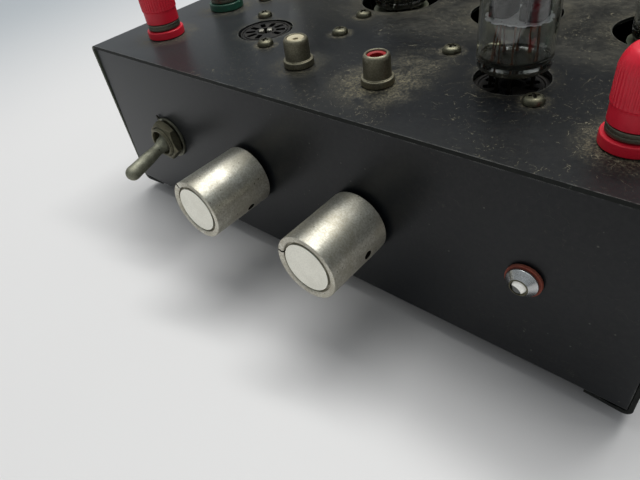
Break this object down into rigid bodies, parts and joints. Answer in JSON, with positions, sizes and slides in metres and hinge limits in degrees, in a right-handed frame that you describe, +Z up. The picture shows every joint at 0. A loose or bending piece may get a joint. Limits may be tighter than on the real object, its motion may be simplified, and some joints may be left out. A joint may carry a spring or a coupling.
{
  "type": "tube amplifier",
  "caption": "Desktop stereo tube amplifier on a folded steel chassis, with turning volume knobs, a toggle switch, a lamp, phono jacks, binding posts, plug-in tubes and transformers.",
  "frame": {"origin": "centre of the amplifier's overall box, on the plane that the feet stand on", "axes": "+Z up, -Y out of the front panel, +X towards the indicator lamp's end"},
  "size_m": [0.22, 0.2176, 0.129],
  "materials": {
    "painted_steel": "dark bluish charcoal satin paint, dusty and scuffed",
    "black_rubber": "matte",
    "satin_aluminium": "satin turned",
    "face_aluminium": "satin turned",
    "plated_steel": "dulled nickel plating",
    "tarnished_brass": "tarnished",
    "switch_plastic": "moulded",
    "chrome": "polished",
    "fibre": "pressed fibre",
    "clear_lens": "clear",
    "red_plastic": "moulded",
    "green_plastic": "moulded",
    "white_plastic": "moulded, yellowed",
    "bakelite": "moulded",
    "tube_glass": "clear",
    "tube_metal": "blackened",
    "circuit_board": "solder mask",
    "core_steel": "black varnished laminations and bells",
    "inlet_plastic": "moulded"
  },
  "bodies": {
    "chassis": {"chassis_cover": "painted_steel", "chassis_tray": "painted_steel", "foot_front_left": "black_rubber", "foot_front_right": "black_rubber", "foot_rear_left": "black_rubber", "foot_rear_right": "black_rubber", "toggle_body": "switch_plastic", "toggle_washer": "plated_steel", "toggle_nut": "tarnished_brass", "pot_left": "tube_metal", "pot_nut_left": "plated_steel", "pot_right": "tube_metal", "pot_nut_right": "plated_steel", "lamp_washer": "fibre", "lamp_bezel": "chrome", "lamp_lens": "clear_lens", "input_jack_shell_left": "plated_steel", "input_jack_insert_left": "white_plastic", "input_jack_shell_right": "plated_steel", "input_jack_insert_right": "red_plastic", "post_base_left_front": "red_plastic", "post_stud_left_front": "plated_steel", "post_base_left_rear": "green_plastic", "post_stud_left_rear": "plated_steel", "post_base_right_front": "red_plastic", "post_stud_right_front": "plated_steel", "post_base_right_rear": "green_plastic", "post_stud_right_rear": "plated_steel", "driver_socket_left": "bakelite", "driver_socket_right": "bakelite", "power_board": "circuit_board", "socket_screw_left_front": "plated_steel", "socket_screw_left_rear": "plated_steel", "socket_screw_right_front": "plated_steel", "socket_screw_right_rear": "plated_steel", "board_screw_1": "plated_steel", "board_screw_2": "plated_steel", "board_screw_3": "plated_steel", "board_screw_4": "plated_steel", "mains_transformer": "core_steel", "output_transformer_left": "core_steel", "output_transformer_right": "core_steel", "mains_inlet": "inlet_plastic"},
    "toggle_lever": {"toggle_lever": "plated_steel"},
    "volume_knob_left": {"knob_left": "satin_aluminium", "knob_face_left": "face_aluminium", "pot_shaft_left": "plated_steel"},
    "volume_knob_right": {"knob_right": "satin_aluminium", "knob_face_right": "face_aluminium", "pot_shaft_right": "plated_steel"},
    "post_cap_left_front": {"post_cap_left_front": "red_plastic"},
    "post_cap_left_rear": {"post_cap_left_rear": "green_plastic"},
    "post_cap_right_front": {"post_cap_right_front": "red_plastic"},
    "post_cap_right_rear": {"post_cap_right_rear": "green_plastic"},
    "driver_tube": {"driver_tube_glass": "tube_glass", "driver_tube_mount": "tube_metal"},
    "power_tube_1": {"power_tube_1": "tube_glass"},
    "power_tube_2": {"power_tube_2": "tube_glass"},
    "power_tube_3": {"power_tube_3": "tube_glass"},
    "power_tube_4": {"power_tube_4": "tube_glass"}
  },
  "joints": [
    {"name": "toggle_throw", "type": "hinge", "parent": "chassis", "child": "toggle_lever", "pos_m": [-0.0719, -0.08345, 0.03873], "axis": [-1, 0, 0], "range_deg": [0, 28]},
    {"name": "volume_turn_left", "type": "hinge", "parent": "chassis", "child": "volume_knob_left", "pos_m": [-0.02561, -0.09635, 0.03701], "axis": [0, -1, 0], "range_deg": [-190, 110]},
    {"name": "volume_turn_right", "type": "hinge", "parent": "chassis", "child": "volume_knob_right", "pos_m": [0.024, -0.09635, 0.03602], "axis": [0, -1, 0], "range_deg": [-227, 73]},
    {"name": "post_cap_turn_left_front", "type": "hinge", "parent": "chassis", "child": "post_cap_left_front", "pos_m": [-0.08569, -0.06195, 0.085], "axis": [0, 0, 1], "range_deg": [0, 1440]},
    {"name": "post_cap_turn_left_rear", "type": "hinge", "parent": "chassis", "child": "post_cap_left_rear", "pos_m": [-0.08569, -0.02876, 0.085], "axis": [0, 0, 1], "range_deg": [0, 1440]},
    {"name": "post_cap_turn_right_front", "type": "hinge", "parent": "chassis", "child": "post_cap_right_front", "pos_m": [0.08811, -0.06195, 0.085], "axis": [0, 0, 1], "range_deg": [0, 1440]},
    {"name": "post_cap_turn_right_rear", "type": "hinge", "parent": "chassis", "child": "post_cap_right_rear", "pos_m": [0.08811, -0.02876, 0.085], "axis": [0, 0, 1], "range_deg": [0, 1440]},
    {"name": "driver_tube_plug", "type": "slide", "parent": "chassis", "child": "driver_tube", "axis": [0, 0, 1], "range_m": [0, 0.006]},
    {"name": "power_tube_plug_1", "type": "slide", "parent": "chassis", "child": "power_tube_1", "axis": [0, 0, 1], "range_m": [0, 0.008]},
    {"name": "power_tube_plug_2", "type": "slide", "parent": "chassis", "child": "power_tube_2", "axis": [0, 0, 1], "range_m": [0, 0.008]},
    {"name": "power_tube_plug_3", "type": "slide", "parent": "chassis", "child": "power_tube_3", "axis": [0, 0, 1], "range_m": [0, 0.008]},
    {"name": "power_tube_plug_4", "type": "slide", "parent": "chassis", "child": "power_tube_4", "axis": [0, 0, 1], "range_m": [0, 0.008]}
  ]
}
